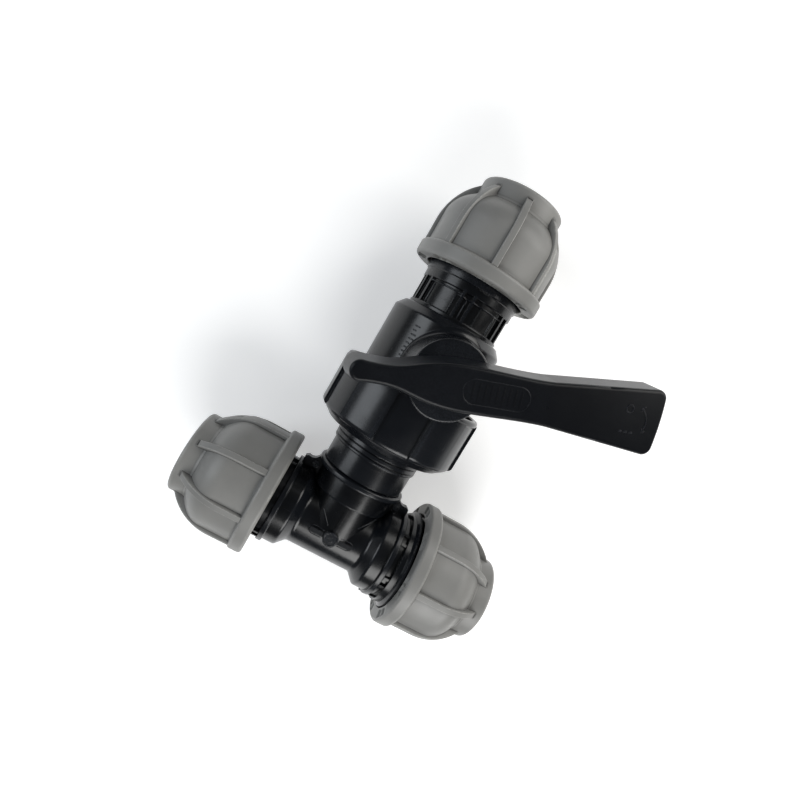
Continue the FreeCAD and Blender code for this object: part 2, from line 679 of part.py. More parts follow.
def valve_body():
    """Valve body with its ball chamber, seat recess, stem bore and outlet pipe socket."""
    outside, ridges = valve_outside()
    seat_end = BALL_Y + SEAT_FAR + 0.05
    seat_bore_r = SEAT_R + 0.1
    carrier_bore_end = CARRIER_STEP_Y + 0.1
    chamber = about_y([
        (VALVE_FACE_Y - 1, 0, 0),
        (OUTLET_STOP_Y + 1, 0, 0),
        (OUTLET_STOP_Y + 1, WATERWAY_R, 0),
        (seat_end, WATERWAY_R, 0),
        (seat_end, seat_bore_r, 0),
        (BALL_Y + SEAT_NEAR - 0.6, seat_bore_r, 0),
        (BALL_Y + SEAT_NEAR - 0.6, CHAMBER_R, 0),
        (carrier_bore_end, CHAMBER_R, 0),
        (carrier_bore_end, CARRIER_R + CARRIER_CLEARANCE, 0),
        (VALVE_FACE_Y - 1, CARRIER_R + CARRIER_CLEARANCE, 0),
    ])
    outlet = aimed(socket_hollow(OUTLET_STOP_Y), ORIGIN, Y_AXIS)
    stem_bore = turned([
        (0, 0, 0),
        (BOSS_TOP + 1, 0, 0),
        (BOSS_TOP + 1, STEM_BORE_R, 0),
        (STEM_SHOULDER_SEAT, STEM_BORE_R, 0),
        (STEM_SHOULDER_SEAT, STEM_SHOULDER_BORE_R, 0),
        (0, STEM_SHOULDER_BORE_R, 0),
    ])
    reach = LUG_HALF_DEG + STOP_GAP_DEG
    track = sector(
        TRACK_INNER_R, TRACK_OUTER_R, BOSS_TOP - TRACK_DEPTH, BOSS_TOP + 1, 180 - reach, 270 + reach,
    )
    stem_bore.translate(V(0, BALL_Y, 0))
    track.translate(V(0, BALL_Y, 0))
    return fused(outside.cut([chamber, outlet, stem_bore, track]), ridges)


def seat_carrier():
    """Ring screwed into the body's inlet, with a recess for the inlet seat and grooves for its seals."""
    recess_y = BALL_Y - SEAT_FAR - 0.05
    nose_r = CHAMBER_R - CARRIER_CLEARANCE
    groove_start, groove_end = CARRIER_GROOVE_Y
    face_groove_inner, face_groove_outer = FACE_GROOVE_R
    face_groove_floor = CARRIER_FACE_Y + FACE_GROOVE_DEPTH
    return about_y([
        (CARRIER_FACE_Y, WATERWAY_R, 0.4),
        (recess_y, WATERWAY_R, 0),
        (recess_y, SEAT_R + 0.1, 0),
        (CARRIER_END_Y, SEAT_R + 0.1, 0),
        (CARRIER_END_Y, nose_r, 0.3),
        (CARRIER_STEP_Y, nose_r, 0),
        (CARRIER_STEP_Y, CARRIER_R, 0),
        (groove_end, CARRIER_R, 0),
        (groove_end, CARRIER_GROOVE_R, 0),
        (groove_start, CARRIER_GROOVE_R, 0),
        (groove_start, CARRIER_R, 0),
        (CARRIER_FACE_Y, CARRIER_R, 0.4),
        (CARRIER_FACE_Y, face_groove_outer, 0),
        (face_groove_floor, face_groove_outer, 0),
        (face_groove_floor, face_groove_inner, 0),
        (CARRIER_FACE_Y, face_groove_inner, 0),
    ])


def seat(side):
    """Seat ring on one side of the ball, with a face turned to the ball's radius."""
    near = BALL_Y + side * SEAT_NEAR
    far = BALL_Y + side * SEAT_FAR
    ring = about_y([
        (min(near, far), SEAT_BORE_R, 0), (max(near, far), SEAT_BORE_R, 0),
        (max(near, far), SEAT_R, 0), (min(near, far), SEAT_R, 0),
    ])
    return ring.cut(Part.makeSphere(BALL_R + 0.05, V(0, BALL_Y, 0)))


def ball():
    """Ball in the fully closed position: bore along X, slot for the stem's tongue along Y."""
    centre = V(0, BALL_Y, 0)
    bore = Part.makeCylinder(WATERWAY_R, 3 * BALL_R, V(-1.5 * BALL_R, BALL_Y, 0), X_AXIS)
    low = (-BALL_SLOT_HALF, BALL_Y - 1.25 * BALL_R, BALL_SLOT_FLOOR)
    high = (BALL_SLOT_HALF, BALL_Y + 1.25 * BALL_R, BALL_R + 1)
    slot = block(low, high)
    return Part.makeSphere(BALL_R, centre).cut([bore, slot])


def stem():
    """Spindle in the fully closed position: tongue, retaining shoulder, seal grooves, squared top."""
    lower_groove, upper_groove = STEM_GROOVES
    shoulder_bottom, shoulder_top = STEM_SHOULDER
    round_end = BOSS_TOP + 0.2
    foot = shoulder_bottom - 1.2
    shaft = turned([
        (foot, 0, 0),
        (round_end, 0, 0),
        (round_end, STEM_R, 0),
        (upper_groove[1], STEM_R, 0),
        (upper_groove[1], STEM_GROOVE_R, 0),
        (upper_groove[0], STEM_GROOVE_R, 0),
        (upper_groove[0], STEM_R, 0),
        (lower_groove[1], STEM_R, 0),
        (lower_groove[1], STEM_GROOVE_R, 0),
        (lower_groove[0], STEM_GROOVE_R, 0),
        (lower_groove[0], STEM_R, 0),
        (shoulder_top, STEM_R, 0),
        (shoulder_top, STEM_SHOULDER_R, 0.2),
        (shoulder_bottom, STEM_SHOULDER_R, 0.4),
        (foot, STEM_SHOULDER_R - 1.4, 0),
    ])
    tongue = block(
        (-TONGUE_HALF_THICKNESS, -TONGUE_HALF_LENGTH, TONGUE_BOTTOM),
        (TONGUE_HALF_THICKNESS, TONGUE_HALF_LENGTH, shoulder_bottom + 0.5),
    )
    square_half = SQUARE_SIDE / 2
    squared = block((-square_half, -square_half, round_end - 1), (square_half, square_half, STEM_TOP))
    shape = fused(shaft, [tongue, squared])
    shape.translate(V(0, BALL_Y, 0))
    return shape


def stem_washer():
    """Thrust washer between the stem's shoulder and the body."""
    washer = tube(STEM_R + 0.1, STEM_SHOULDER_R, WASHER_HEIGHTS[0], WASHER_HEIGHTS[1])
    washer.translate(V(0, BALL_Y, 0))
    return washer


def stem_o_ring(bottom, top):
    """One of the stem's seals, in the middle of the groove between the heights bottom and top."""
    ring = o_ring(STEM_SEAL_R, STEM_SEAL_SECTION_R, (bottom + top) / 2)
    ring.translate(V(0, BALL_Y, 0))
    return ring


# ------------------------------------------------------------------ lever

def lever_outline(grow):
    """Half-width stations of the lever from tail to grip, each wider by grow, as a closed wire."""
    tail_x = -LEVER_TAIL - grow
    grip_x = LEVER_GRIP_END + grow
    upper = [
        V(-32.6, 3.5 + grow, 0), V(-26.0, 3.3 + grow, 0), V(-20.5, 3.9 + grow, 0), V(-13.0, 6.0 + grow, 0),
        V(-4.0, 7.7 + grow, 0), V(6.0, 8.0 + grow, 0), V(20.0, 7.7 + grow, 0), V(34.0, 7.9 + grow, 0),
    ]
    lower = [V(point.x, -point.y, 0) for point in reversed(upper)]
    corner = LEVER_CORNER_R + grow
    grip_half = LEVER_GRIP_HALF + grow
    upper_curve = Part.BSplineCurve()
    upper_curve.interpolate(upper)
    lower_curve = Part.BSplineCurve()
    lower_curve.interpolate(lower)
    corner_low = corner * (1 - math.sqrt(0.5))
    end_top = V(grip_x, grip_half - corner, 0)
    side_top = V(grip_x - corner, grip_half, 0)
    end_bottom = V(grip_x, corner - grip_half, 0)
    side_bottom = V(grip_x - corner, -grip_half, 0)
    bow = V(grip_x + LEVER_END_BOW, 0, 0)
    return Part.Wire([
        upper_curve.toShape(),
        Part.makeLine(upper[-1], side_top),
        Part.Arc(side_top, V(grip_x - corner_low, grip_half - corner_low, 0), end_top).toShape(),
        Part.Arc(end_top, bow, end_bottom).toShape(),
        Part.Arc(end_bottom, V(grip_x - corner_low, corner_low - grip_half, 0), side_bottom).toShape(),
        Part.makeLine(side_bottom, lower[0]),
        lower_curve.toShape(),
        Part.Arc(lower[-1], V(tail_x, 0, 0), upper[0]).toShape(),
    ])


def grip_slope():
    """Wedge above the grip: what its sloping top face leaves of the lever's full height."""
    end_x = LEVER_GRIP_END + WEDGE_MARGIN
    corners = [
        V(LEVER_KINK_X, -WEDGE_HALF_WIDTH, LEVER_TOP),
        V(end_x, -WEDGE_HALF_WIDTH, LEVER_TOP),
        V(end_x, -WEDGE_HALF_WIDTH, LEVER_TOP - LEVER_KINK_DROP),
    ]
    return Part.Face(Part.makePolygon(corners + [corners[0]])).extrude(V(0, 2 * WEDGE_HALF_WIDTH, 0))


def crosses_lever(edge):
    """Whether an edge runs square across the lever, as the crease at the grip does."""
    box = edge.BoundBox
    return box.XLength < 1e-3 and abs(box.XMin - LEVER_KINK_X) < 1e-3


def lever():
    """Channel-section lever along +X, closed on top, with a squared hub and a stop lug inside."""
    bottom = lever_outline(LEVER_DRAFT)
    bottom.translate(V(0, 0, LEVER_UNDERSIDE))
    top = lever_outline(0.0)
    top.translate(V(0, 0, LEVER_TOP))
    drafted = Part.makeLoft([bottom, top], True).cut(grip_slope())
    top_edges = [edge for edge in drafted.Edges if edge.BoundBox.ZMin > LEVER_TOP - LEVER_EDGE_R]
    outside = drafted.makeFillet(LEVER_EDGE_R, [edge for edge in top_edges if not crosses_lever(edge)])
    inner_bottom = lever_outline(LEVER_DRAFT - LEVER_WALL)
    inner_bottom.translate(V(0, 0, LEVER_UNDERSIDE - 0.1))
    inner_top = lever_outline(-LEVER_WALL)
    inner_top.translate(V(0, 0, LEVER_TOP - LEVER_WALL))
    channel = Part.makeLoft([inner_bottom, inner_top], True)
    inside_top = LEVER_TOP - 1
    rib_bottom = LEVER_UNDERSIDE + LEVER_RIB_LIFT
    rib_half = LEVER_RIB_THICKNESS / 2
    rib_reach = LEVER_GRIP_HALF + 1.8
    hub = rod(LEVER_HUB_R, LEVER_UNDERSIDE + 0.4, inside_top)
    plates = [block((-34, -rib_half, rib_bottom), (LEVER_GRIP_END, rib_half, inside_top))]
    for place in LEVER_RIB_X:
        low = (place - rib_half, -rib_reach, rib_bottom)
        high = (place + rib_half, rib_reach, inside_top)
        plates.append(block(low, high))
    ribbing = [plate.common(outside) for plate in plates]
    lug_bottom = BOSS_TOP - TRACK_DEPTH + LUG_GAP
    lug_inner = TRACK_INNER_R + LUG_GAP
    lug_outer = TRACK_OUTER_R - LUG_GAP
    lug = sector(lug_inner, lug_outer, lug_bottom, inside_top, 180 - LUG_HALF_DEG, 180 + LUG_HALF_DEG)
    square_half = SQUARE_SIDE / 2 + 0.05
    socket = block((-square_half, -square_half, BOSS_TOP), (square_half, square_half, STEM_TOP + 0.2))
    shell = fused(outside.cut(channel), [hub, lug] + ribbing).cut(socket)
    shell.translate(V(0, BALL_Y, 0))
    return shell


# ------------------------------------------------------------------ assembly

def turned_with_lever(shape):
    """Turn a shape about the stem from fully closed to the lever's rest position."""
    shape.rotate(V(0, BALL_Y, 0), Z_AXIS, LEVER_REST_DEG)
    return shape


def rolled(shape):
    """Roll a shape about the flow axis with the valve."""
    shape.rotate(ORIGIN, Y_AXIS, VALVE_ROLL_DEG)
    return shape


def assembly():
    """Every node's shape, in the working frame."""
    shapes = {"tee_body": tee_body(), "tail_piece": tail_piece(), "union_nut": union_nut()}
    union_seal = o_ring(UNION_SEAL_R, UNION_SEAL_SECTION_R, UNION_SEAL_Y)
    shapes["union_o_ring"] = aimed(union_seal, ORIGIN, Y_AXIS)
    shapes["valve_body"] = rolled(valve_body())
    shapes["seat_carrier"] = rolled(seat_carrier())
    carrier_seal = o_ring(CARRIER_SEAL_R, CARRIER_SEAL_SECTION_R, sum(CARRIER_GROOVE_Y) / 2)
    shapes["seat_carrier_o_ring"] = rolled(aimed(carrier_seal, ORIGIN, Y_AXIS))
    shapes["inlet_seat"] = rolled(seat(-1))
    shapes["outlet_seat"] = rolled(seat(1))
    shapes["ball"] = rolled(turned_with_lever(ball()))
    shapes["stem"] = rolled(turned_with_lever(stem()))
    shapes["lever"] = rolled(turned_with_lever(lever()))
    shapes["stem_washer"] = rolled(stem_washer())
    for name, (bottom, top) in zip(("lower", "upper"), STEM_GROOVES):
        shapes[name + "_stem_o_ring"] = rolled(stem_o_ring(bottom, top))
    pipe_ends = [
        ("left", -X_AXIS * PIPE_STOP_X, -X_AXIS, V(LEFT_RIM_X, 0, 0), LEFT_NUT_CLOCK_DEG),
        ("right", X_AXIS * PIPE_STOP_X, X_AXIS, V(RIGHT_RIM_X, 0, 0), RIGHT_NUT_CLOCK_DEG),
        ("outlet", Y_AXIS * OUTLET_STOP_Y, Y_AXIS, V(0, OUTLET_RIM_Y, 0), OUTLET_NUT_CLOCK_DEG),
    ]
    for prefix, stop, direction, rim, clock_deg in pipe_ends:
        shapes.update(compression_set(prefix, stop, direction, rim, clock_deg))
    return shapes


os.makedirs("parts", exist_ok=True)
for node, shape in assembly().items():
    shape.translate(V(PIPE_STOP_X, 0, 0))
    shape.exportStep("parts/" + node + ".step")
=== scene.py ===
import json
import math

import bpy
import numpy as np
from mathutils import Euler, Matrix, Vector
from mathutils.bvhtree import BVHTree


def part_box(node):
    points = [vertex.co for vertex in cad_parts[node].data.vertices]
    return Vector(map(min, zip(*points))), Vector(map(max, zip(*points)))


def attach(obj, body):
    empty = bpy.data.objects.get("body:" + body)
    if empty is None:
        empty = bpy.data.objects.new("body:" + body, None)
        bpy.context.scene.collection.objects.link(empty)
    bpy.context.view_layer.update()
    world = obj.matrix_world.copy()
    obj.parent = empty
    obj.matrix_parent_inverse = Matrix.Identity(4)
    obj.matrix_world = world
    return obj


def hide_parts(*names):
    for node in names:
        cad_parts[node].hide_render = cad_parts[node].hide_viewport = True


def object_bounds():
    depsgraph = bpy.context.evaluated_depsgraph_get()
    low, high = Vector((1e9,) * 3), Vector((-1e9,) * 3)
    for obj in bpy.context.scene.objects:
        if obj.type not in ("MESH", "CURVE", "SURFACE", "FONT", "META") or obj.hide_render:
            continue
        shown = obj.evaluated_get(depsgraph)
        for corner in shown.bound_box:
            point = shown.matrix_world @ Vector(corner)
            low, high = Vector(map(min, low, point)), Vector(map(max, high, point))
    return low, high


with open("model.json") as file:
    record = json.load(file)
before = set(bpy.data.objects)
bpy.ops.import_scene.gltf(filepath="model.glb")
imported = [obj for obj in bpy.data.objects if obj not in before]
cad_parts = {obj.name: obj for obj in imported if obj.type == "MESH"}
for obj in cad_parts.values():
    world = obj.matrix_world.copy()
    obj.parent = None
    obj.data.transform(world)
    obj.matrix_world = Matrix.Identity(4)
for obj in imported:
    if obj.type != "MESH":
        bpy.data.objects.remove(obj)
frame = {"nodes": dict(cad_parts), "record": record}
cad_box = [list(corner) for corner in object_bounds()]

MM = 0.001
FLOW_X = 0.015          # the branch and valve axis stands here along the run
BALL_Y = 0.0786         # the stem crosses the flow axis here
ROLL = math.radians(9.0)            # the valve is rolled about the flow axis in its union
LEVER_TURN = math.radians(18.6)     # the lever stands this far from closed
CAMERA_PLACE = (-0.014215, 0.083473, 0.210845)
CAMERA_TURN = (math.radians(-8.943), math.radians(-3.198), math.radians(30.336))
scene = bpy.context.scene


# ------------------------------------------------------------------ camera and light

def make_camera():
    """Camera nearly square above the tee, with the tee turned in the picture as it lies there."""
    data = bpy.data.cameras.new("camera")
    data.lens = 23.14
    data.sensor_width = 36.0
    data.clip_start = 0.01
    data.clip_end = 10.0
    camera = bpy.data.objects.new("camera", data)
    scene.collection.objects.link(camera)
    camera.matrix_world = Matrix.Translation(CAMERA_PLACE) @ Euler(CAMERA_TURN).to_matrix().to_4x4()
    scene.camera = camera


def area_light(name, place, target, size, watts, tint=(1.0, 1.0, 1.0)):
    """Soft rectangular lamp at a place, turned towards a target."""
    data = bpy.data.lights.new(name, "AREA")
    data.shape = "RECTANGLE"
    data.size = size[0]
    data.size_y = size[1]
    data.energy = watts
    data.color = tint
    lamp = bpy.data.objects.new(name, data)
    lamp.location = place
    lamp.rotation_euler = (Vector(target) - Vector(place)).to_track_quat("-Z", "Y").to_euler()
    scene.collection.objects.link(lamp)


make_camera()
middle = (0.02, 0.06, 0.0)
area_light("key", (0.40, 0.44, 0.30), (0.03, 0.05, 0.0), (0.50, 0.34), 2.3, (1.0, 0.985, 0.95))
area_light("front", (0.26, -0.36, 0.40), (0.05, 0.0, 0.0), (0.46, 0.32), 2.9, (0.99, 0.99, 0.98))
area_light("left", (-0.60, 0.04, 0.42), middle, (0.44, 0.38), 2.2, (0.90, 0.95, 1.0))
area_light("back", (0.15, 0.80, 0.46), middle, (0.60, 0.45), 0.2, (0.95, 0.98, 1.0))
world = bpy.data.worlds.new("studio")
scene.world = world
world.use_nodes = True
world.node_tree.nodes["Background"].inputs["Color"].default_value = (0.90, 0.95, 1.0, 1.0)
world.node_tree.nodes["Background"].inputs["Strength"].default_value = 0.10
scene.view_settings.view_transform = "Standard"


# ------------------------------------------------------------------ materials

def new_material(name, slot, colour, roughness, specular=0.5):
    """Principled material with its even values set on the shader, and its node tree helpers."""
    material = bpy.data.materials.new(name)
    material.use_nodes = True
    tree = material.node_tree
    shader = tree.nodes["Principled BSDF"]
    shader.inputs["Base Color"].default_value = (*colour, 1.0)
    shader.inputs["Roughness"].default_value = roughness
    shader.inputs["Specular IOR Level"].default_value = specular
    material["slot"] = slot
    return material, tree, shader


def noise(tree, scale, detail=3.0, rough=0.5, stretch=None):
    """Noise in object space, in cycles per metre, stretched along an axis if asked."""
    place = tree.nodes.new("ShaderNodeTexCoord")
    source = place.outputs["Object"]
    if stretch:
        mapping = tree.nodes.new("ShaderNodeMapping")
        mapping.inputs["Scale"].default_value = stretch
        tree.links.new(source, mapping.inputs["Vector"])
        source = mapping.outputs["Vector"]
    texture = tree.nodes.new("ShaderNodeTexNoise")
    texture.inputs["Scale"].default_value = scale
    texture.inputs["Detail"].default_value = detail
    texture.inputs["Roughness"].default_value = rough
    tree.links.new(source, texture.inputs["Vector"])
    return texture.outputs["Fac"]


def ramp(tree, value, stops):
    """Colour ramp over a value; stops are (position, grey or colour)."""
    node = tree.nodes.new("ShaderNodeValToRGB")
    elements = node.color_ramp.elements
    while len(elements) < len(stops):
        elements.new(0.5)
    for element, (position, tone) in zip(elements, stops):
        element.position = position
        element.color = (*tone, 1.0) if isinstance(tone, tuple) else (tone, tone, tone, 1.0)
    tree.links.new(value, node.inputs["Fac"])
    return node.outputs["Color"]


def mixed(tree, factor, first, second, mode="MIX"):
    """Colour mix of two sources; each is a socket, a number or a colour."""
    node = tree.nodes.new("ShaderNodeMix")
    node.data_type = "RGBA"
    node.blend_type = mode
    for target, source in ((node.inputs[6], first), (node.inputs[7], second), (node.inputs[0], factor)):
        if isinstance(source, bpy.types.NodeSocket):
            tree.links.new(source, target)
        elif isinstance(source, tuple):
            target.default_value = (*source, 1.0)
        else:
            target.default_value = source
    return node.outputs[2]


def edge_mask(tree, low, high, low_tone=0.0, high_tone=1.0):
    """Tone that runs from hollows (low pointiness) to ridges (high pointiness)."""
    geometry = tree.nodes.new("ShaderNodeNewGeometry")
    return ramp(tree, geometry.outputs["Pointiness"], [(low, low_tone), (high, high_tone)])


def bumped(tree, shader, layers, edge_radius=0.0003):
    """Softened edges under a stack of bump layers, each (height socket, strength, distance in metres)."""
    bevel = tree.nodes.new("ShaderNodeBevel")
    bevel.samples = 4
    bevel.inputs["Radius"].default_value = edge_radius
    below = bevel.outputs["Normal"]
    for height, strength, distance in layers:
        bump = tree.nodes.new("ShaderNodeBump")
        bump.inputs["Strength"].default_value = strength
        bump.inputs["Distance"].default_value = distance
        tree.links.new(height, bump.inputs["Height"])
        tree.links.new(below, bump.inputs["Normal"])
        below = bump.outputs["Normal"]
    tree.links.new(below, shader.inputs["Normal"])


def moulded_plastic(name, slot, dark, light, wear, rough, grain, ripple, specular=0.5):
    """Moulded plastic: flow mottling, fine grain, smears in the gloss, slightly paler rubbed edges, and
    painted shade darkening its creases.
    """
    material, tree, shader = new_material(name, slot, dark, 0.4, specular)
    cloud = noise(tree, 55.0, 4.0, 0.55)
    base = mixed(tree, ramp(tree, cloud, [(0.3, 0.0), (0.72, 1.0)]), dark, light)
    scuffs = ramp(tree, noise(tree, 1500.0, 2.0, 0.6), [(0.35, 0.25), (0.7, 1.0)])
    rubbed = mixed(tree, edge_mask(tree, 0.506, 0.548), (0.0, 0.0, 0.0), scuffs)
    worn = mixed(tree, rubbed, base, wear)
    # Painted shade: concave creases are darkened in the base colour, as if shade gathered there.
    painted_crease_shade = edge_mask(tree, 0.462, 0.496, 0.42, 1.0)
    tree.links.new(mixed(tree, 1.0, worn, painted_crease_shade, "MULTIPLY"), shader.inputs["Base Color"])
    smears = ramp(tree, noise(tree, 90.0, 5.0, 0.62), [(0.25, rough[0]), (0.75, rough[1])])
    hairlines = ramp(tree, noise(tree, 700.0, 2.0, 0.5, (0.08, 1.0, 1.0)), [(0.60, 0.0), (0.75, 0.035)])
    tree.links.new(mixed(tree, 1.0, smears, hairlines, "ADD"), shader.inputs["Roughness"])
    bumped(tree, shader, [
        (noise(tree, 60.0, 2.0, 0.4), ripple, 0.0004),
        (noise(tree, 7000.0, 3.0, 0.6), grain, 0.00002),
    ])
    return material


black = moulded_plastic(
    "black_moulding", "black_plastic", (0.0034, 0.0042, 0.0060), (0.0058, 0.0068, 0.0088),
    (0.014, 0.016, 0.020), (0.18, 0.29), 0.16, 0.10, 0.38)
satin = moulded_plastic(
    "satin_black_moulding", "lever_plastic", (0.0026, 0.0030, 0.0042), (0.0044, 0.0049, 0.0062),
    (0.014, 0.016, 0.020), (0.27, 0.32), 0.18, 0.05, 0.16)
grey = moulded_plastic(
    "grey_moulding", "grey_plastic", (0.190, 0.188, 0.180), (0.225, 0.222, 0.212),
    (0.40, 0.395, 0.375), (0.38, 0.52), 0.40, 0.12)
acetal = moulded_plastic(
    "white_acetal_moulding", "white_acetal", (0.70, 0.69, 0.64), (0.78, 0.77, 0.73),
    (0.84, 0.83, 0.80), (0.30, 0.42), 0.25, 0.08)
waxy = moulded_plastic(
    "waxy_seat_ring", "ptfe", (0.76, 0.76, 0.74), (0.83, 0.83, 0.81),
    (0.88, 0.88, 0.87), (0.35, 0.48), 0.2, 0.06)
polished = moulded_plastic(
    "polished_ball_plastic", "ball_plastic", (0.050, 0.051, 0.054), (0.062, 0.063, 0.066),
    (0.09, 0.09, 0.094), (0.10, 0.18), 0.08, 0.03)


def rubber_material():
    """Smooth moulded rubber with a dusty bloom."""
    clean, dusty = (0.010, 0.010, 0.010), (0.032, 0.032, 0.030)
    material, tree, shader = new_material("seal_rubber_skin", "seal_rubber", (0.012, 0.012, 0.012), 0.6, 0.35)
    bloom = ramp(tree, noise(tree, 400.0, 4.0, 0.6), [(0.45, 0.0), (0.8, 0.55)])
    tree.links.new(mixed(tree, bloom, clean, dusty), shader.inputs["Base Color"])
    patches = ramp(tree, noise(tree, 700.0, 3.0), [(0.3, 0.5), (0.7, 0.72)])
    tree.links.new(patches, shader.inputs["Roughness"])
    bumped(tree, shader, [(noise(tree, 4200.0, 3.0), 0.3, 0.00003)])
    return material


rubber = rubber_material()
BY_SLOT = {m["slot"]: m for m in (black, satin, grey, acetal, waxy, polished, rubber)}


def dress(obj, material):
    """Gives an object one material in every slot."""
    obj.data.materials.clear()
    obj.data.materials.append(material)


for part in frame["record"]["subparts"]:
    node = frame["nodes"][part["node"]]
    for number in range(len(node.data.materials)):
        node.data.materials[number] = BY_SLOT[part["material_slot"]]


# ------------------------------------------------------------------ mesh helpers

def sheet_quads(rows, cols, start, wrap_rows, wrap_cols):
    """Quads over a grid of points numbered row by row from a start."""
    last_row = rows if wrap_rows else rows - 1
    last_col = cols if wrap_cols else cols - 1
    r, c = np.meshgrid(np.arange(last_row), np.arange(last_col), indexing="ij")
    r2 = (r + 1) % rows
    c2 = (c + 1) % cols
    quads = np.stack([r * cols + c, r * cols + c2, r2 * cols + c2, r2 * cols + c], axis=-1)
    return quads.reshape(-1, 4) + start


def sheets_object(name, sheets, material, wrap_rows=False, wrap_cols=False):
    """Smooth quad mesh over one or more arrays of points (rows, columns, xyz), in metres."""
    quads = []
    start = 0
    for points in sheets:
        rows, cols = points.shape[:2]
        quads.append(sheet_quads(rows, cols, start, wrap_rows, wrap_cols))
        start += rows * cols
    mesh = bpy.data.meshes.new(name)
    points = np.concatenate([sheet.reshape(-1, 3) for sheet in sheets])
    mesh.from_pydata(points.tolist(), [], np.concatenate(quads).tolist())
    mesh.polygons.foreach_set("use_smooth", np.ones(len(mesh.polygons), bool))
    mesh.update()
    obj = bpy.data.objects.new(name, mesh)
    scene.collection.objects.link(obj)
    dress(obj, material)
    return obj


def rounded_line(corners, steps=6):
    """Open polyline from corners (z, r, rounding) in mm, with arcs at rounded corners."""
    line = []
    count = len(corners)
    for index, (z, r, rounding) in enumerate(corners):
        here = np.array([z, r], float)
        if rounding == 0 or index in (0, count - 1):
            line.append(here)
            continue
        back = np.array(corners[index - 1][:2], float) - here
        ahead = np.array(corners[index + 1][:2], float) - here
        back /= np.linalg.norm(back)
        ahead /= np.linalg.norm(ahead)
        half = math.acos(max(-1.0, min(1.0, float(back @ ahead)))) / 2
        tangent = rounding / math.tan(half)
        middle_way = (back + ahead) / np.linalg.norm(back + ahead)
        centre = here + middle_way * rounding / math.sin(half)
        first = here + back * tangent - centre
        last = here + ahead * tangent - centre
        sweep = math.pi - 2 * half
        for step in range(steps + 1):
            share = step / steps
            way = (math.sin((1 - share) * sweep) * first + math.sin(share * sweep) * last) / math.sin(sweep)
            line.append(centre + way)
    return np.array(line)


def resampled(line, pitch):
    """Polyline with long stretches divided to at most the pitch, corners kept."""
    out = [line[0]]
    for start, end in zip(line[:-1], line[1:]):
        pieces = max(1, int(math.ceil(np.linalg.norm(end - start) / pitch)))
        for number in range(1, pieces + 1):
            out.append(start + (end - start) * number / pieces)
    return np.array(out)


# ------------------------------------------------------------------ compression nuts

# Sizes in mm; heights run from the rim face, at zero, to the collar's end.
NUT_LENGTH, RIM_R, RIM_LENGTH = 38.0, 27.2, 5.8
DOME_R, DOME_STRAIGHT, DOME_END, COLLAR_R = 25.0, 19.0, 29.6, 17.4
DOME_BEND, DOME_BLEND = 11.19, 4.5      # radius of the dome's arc, and its soft band at the collar
SKIN_START, SKIN_END = 6.9, 30.1        # the dome's own rows lie between these heights
COLLAR_START, COLLAR_STRAIGHT = 30.2, 31.2      # the blend's last row, and where the collar runs straight
RIBS, RIB_R, RIB_STRAIGHT, RIB_END = 8, 26.5, 15.0, 34.6
RIB_START, RIB_STOP = 5.9, 36.0         # ribs stand only between these heights
RIB_HALF, RIB_FLANK, RIB_REACH = 1.12, 0.5, 4.0     # flat top, its sloped side, finely divided band
POCKET_INNER_R, POCKET_OUTER_R, POCKET_DEPTH = 22.5, 25.9, 3.2
POCKET_NEAR, POCKET_FAR = 0.7, 3.6      # rim pockets lie this far to each side of a rib's middle
RIB_LIFT, SPREAD_R = 3.0, 17.0          # limits on the radius that the ribs' columns are spaced at
THREAD_R, EXIT_R = 21.6, 13.3
CONE_START, CONE_END = 22.0, 34.0       # the tapered seat inside, between the thread and the exit
CONE_WIDE_R, CONE_NARROW_R = 18.9, 14.4


def arc_radius(z, straight, end, top_r, low_r):
    """Radius of a profile that is straight, then bends in along a circle to its end."""
    run = end - straight
    drop = top_r - low_r
    bend = (run * run + drop * drop) / (2 * drop)
    inside = np.clip(bend * bend - np.maximum(z - straight, 0.0) ** 2, 0.0, None)
    return np.where(z <= straight, top_r, top_r - bend + np.sqrt(inside))


def smooth_max(a, b, k):
    """Larger of two values, blended over a band of width k."""
    h = np.maximum(k - np.abs(a - b), 0.0) / k
    return np.maximum(a, b) + h * h * k / 4


def nut_profile():
    """Closed profile of the nut (z, r) in mm: the outside up to the collar's end, and the way back inside."""
    heights = [SKIN_START + 0.45 * n for n in range(28)]
    for step in range(1, 30):
        heights.append(DOME_STRAIGHT + DOME_BEND * math.sin(math.radians(3.0 * step)))
    heights = np.array(sorted(h for h in heights if h < SKIN_END))
    dome = smooth_max(arc_radius(heights, DOME_STRAIGHT, DOME_END, DOME_R, COLLAR_R), COLLAR_R, DOME_BLEND)
    outer = rounded_line([
        (0.0, THREAD_R + 0.2, 0), (0.0, RIM_R, 1.4), (RIM_LENGTH, RIM_R, 1.2),
        (RIM_LENGTH + 0.35, DOME_R, 0.8), (SKIN_START + 0.3, DOME_R, 0),
    ])
    collar = rounded_line([
        (COLLAR_START, dome[-1], 0), (COLLAR_STRAIGHT, COLLAR_R, 0), (NUT_LENGTH, COLLAR_R, 1.3),
        (NUT_LENGTH, EXIT_R, 0.7), (CONE_END, EXIT_R, 0),
    ])
    inside = rounded_line([
        (CONE_END, CONE_NARROW_R, 0), (CONE_START, CONE_WIDE_R, 0), (CONE_START, THREAD_R, 0),
        (0.4, THREAD_R, 0.3), (0.0, THREAD_R + 0.2, 0),
    ])
    skin = np.stack([heights, dome], axis=1)
    outer = resampled(outer[outer[:, 0] <= SKIN_START - 0.1 + 1e-9], 0.32)
    joined = np.concatenate([outer, skin, resampled(collar, 0.5)])
    return joined, resampled(inside[:-1], 0.8)


